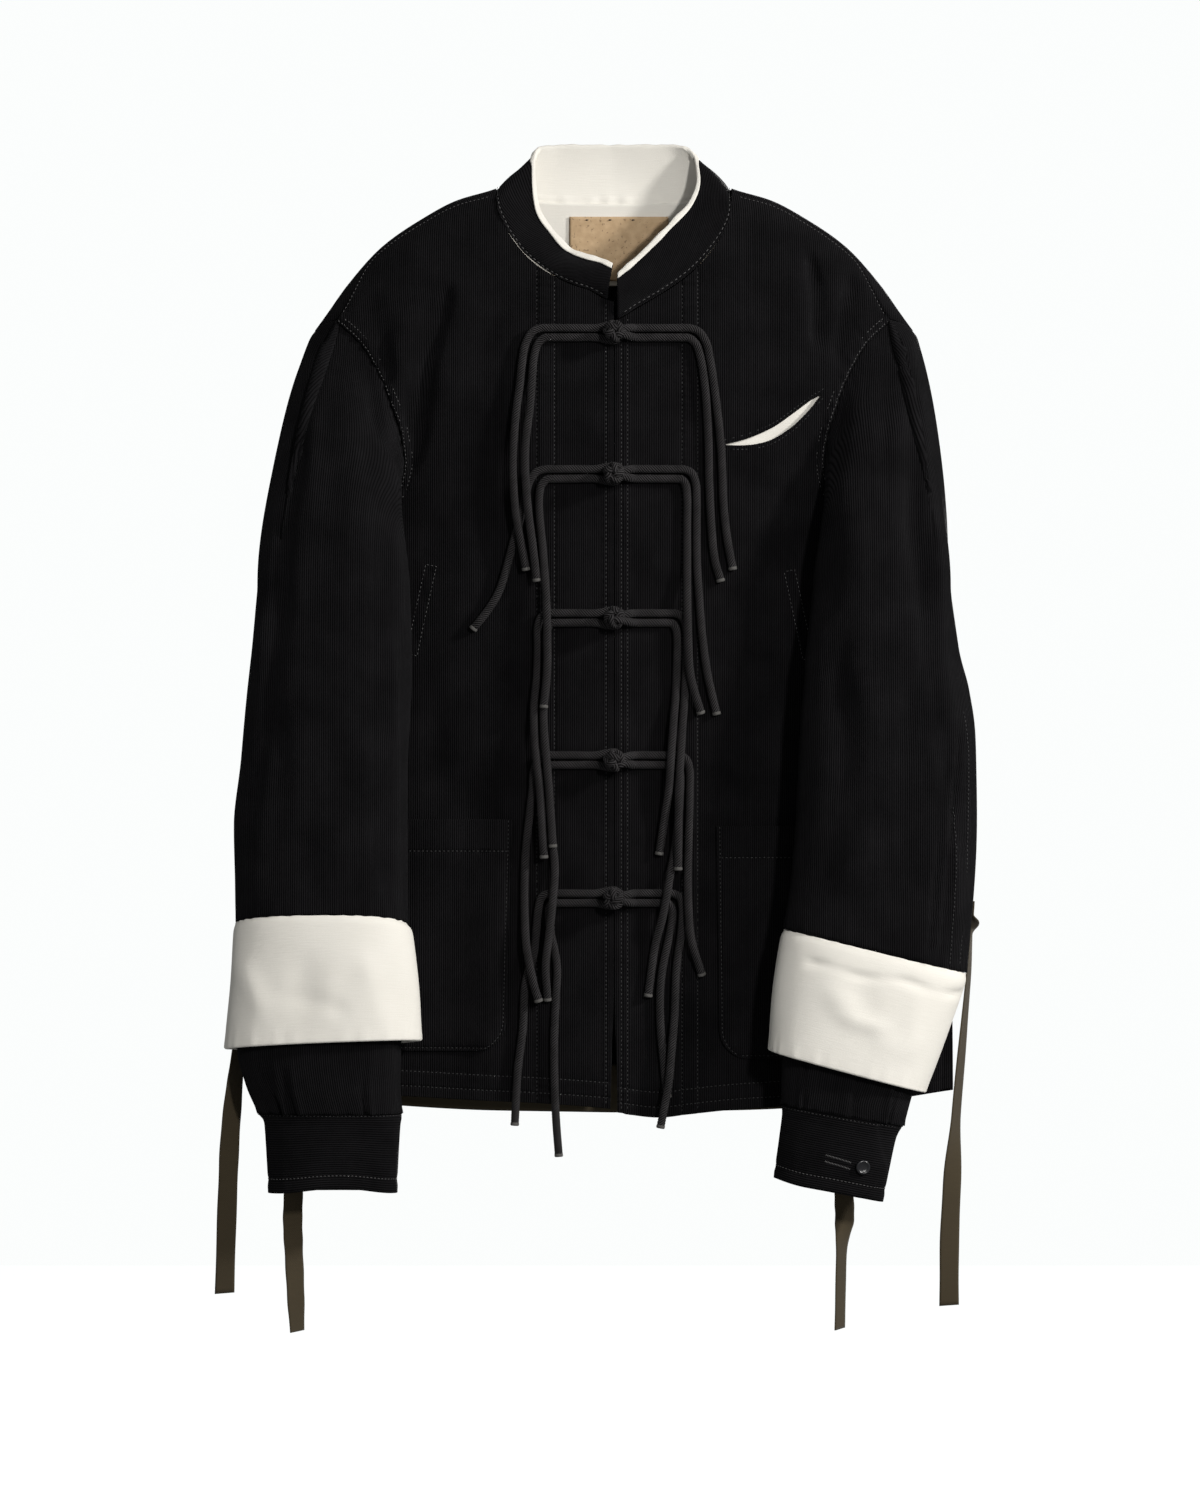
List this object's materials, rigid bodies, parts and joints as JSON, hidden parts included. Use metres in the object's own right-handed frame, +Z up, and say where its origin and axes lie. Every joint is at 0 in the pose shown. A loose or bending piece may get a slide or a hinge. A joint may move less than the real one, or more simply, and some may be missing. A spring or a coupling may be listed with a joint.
{
  "type": "chinese-style corduroy jacket with frog fastenings",
  "caption": "Boxy black corduroy jacket with a stand collar, knotted frog fastenings with long free tails, patch pockets, cream turned-up sleeve ends and cuff bands below them.",
  "frame": {"origin": "collar seam at the centre of the back of the neck, where the jacket is hung", "axes": "+Z up, -Y towards the front of the jacket, +X to the right of someone who looks at its front"},
  "size_m": [0.5866, 0.1303, 0.9185],
  "materials": {
    "corduroy": "black fine-wale cotton corduroy, matt pile with grey light on the ribs",
    "cream_cotton": "plain-weave unbleached cotton, matt",
    "label": "kraft-brown washable paper label, bare",
    "olive_cotton": "olive-brown cotton facing",
    "olive_tape": "olive-brown cotton twill tape",
    "cord": "cord rolled from black corduroy cut on the bias",
    "button": "dark dished button with a soft shine"
  },
  "bodies": {
    "root": {"front_left": "corduroy", "front_right": "corduroy", "back_panel": "corduroy", "sleeve_left": "corduroy", "sleeve_right": "corduroy", "lower_sleeve_left": "corduroy", "lower_sleeve_right": "corduroy", "cuff_band_left": "corduroy", "cuff_band_right": "corduroy", "collar_outer": "corduroy", "pocket_left": "corduroy", "pocket_right": "corduroy", "turn_up_left": "cream_cotton", "turn_up_right": "cream_cotton", "collar_inner": "cream_cotton", "back_neck_facing": "cream_cotton", "chest_slit_lining": "cream_cotton", "neck_label": "label", "back_hem_facing": "olive_cotton", "tape_left_outer": "olive_tape", "tape_left_inner": "olive_tape", "tape_right_outer": "olive_tape", "tape_right_inner": "olive_tape", "frog_left_1": "cord", "frog_right_1": "cord", "frog_left_2": "cord", "frog_right_2": "cord", "frog_left_3": "cord", "frog_right_3": "cord", "frog_left_4": "cord", "frog_right_4": "cord", "frog_left_5": "cord", "frog_right_5": "cord", "tail_left_1a": "cord", "tail_left_1b": "cord", "tail_left_2a": "cord", "tail_left_2b": "cord", "tail_left_3a": "cord", "tail_left_3b": "cord", "tail_left_4a": "cord", "tail_left_4b": "cord", "tail_left_5a": "cord", "tail_left_5b": "cord", "tail_right_1a": "cord", "tail_right_1b": "cord", "tail_right_2a": "cord", "tail_right_2b": "cord", "tail_right_3a": "cord", "tail_right_3b": "cord", "tail_right_4a": "cord", "tail_right_4b": "cord", "tail_right_5a": "cord", "tail_right_5b": "cord", "cuff_button_left": "button", "cuff_button_right": "button"}
  },
  "joints": []
}
